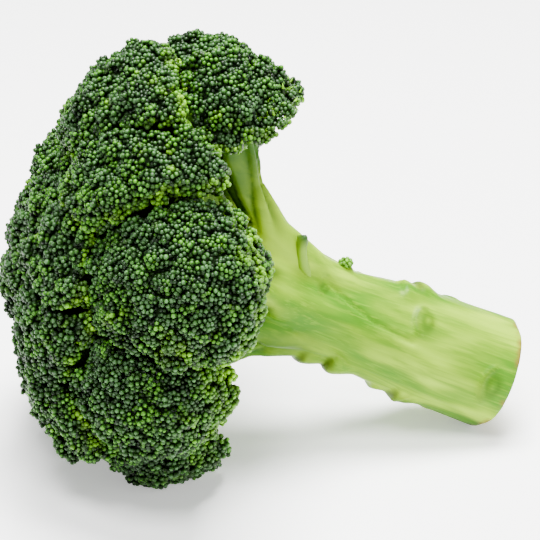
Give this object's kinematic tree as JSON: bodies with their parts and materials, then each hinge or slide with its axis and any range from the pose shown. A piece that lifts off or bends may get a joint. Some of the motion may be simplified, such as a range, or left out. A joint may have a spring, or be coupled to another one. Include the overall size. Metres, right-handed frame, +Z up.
{
  "type": "broccoli head",
  "caption": "Broccoli head lying on its side: a domed crown of bud-covered florets on branches that join in a thick stalk, trimmed square at its end.",
  "frame": {"origin": "middle of the bounding box at floor level", "axes": "+X level along the head from the crown to the stalk's cut end, +Y level across it, +Z up from the floor that it lies on"},
  "size_m": [0.1832, 0.1596, 0.1513],
  "materials": {
    "stalk_flesh": "smooth waxy skin, pale yellow-green",
    "flower_buds": "granular closed flower buds, dark green with a grey-green bloom"
  },
  "bodies": {
    "root": {"stalk": "stalk_flesh", "floret_apex": "flower_buds", "floret_inner_1": "flower_buds", "floret_inner_2": "flower_buds", "floret_inner_3": "flower_buds", "floret_inner_4": "flower_buds", "floret_mid_1": "flower_buds", "floret_mid_2": "flower_buds", "floret_mid_3": "flower_buds", "floret_mid_4": "flower_buds", "floret_mid_5": "flower_buds", "floret_mid_6": "flower_buds", "floret_mid_7": "flower_buds", "floret_rim_1": "flower_buds", "floret_rim_2": "flower_buds", "floret_rim_3": "flower_buds", "floret_rim_4": "flower_buds", "floret_rim_5": "flower_buds", "floret_rim_6": "flower_buds", "floret_rim_7": "flower_buds", "floret_rim_8": "flower_buds", "floret_rim_9": "flower_buds", "side_shoot": "flower_buds"}
  },
  "joints": []
}
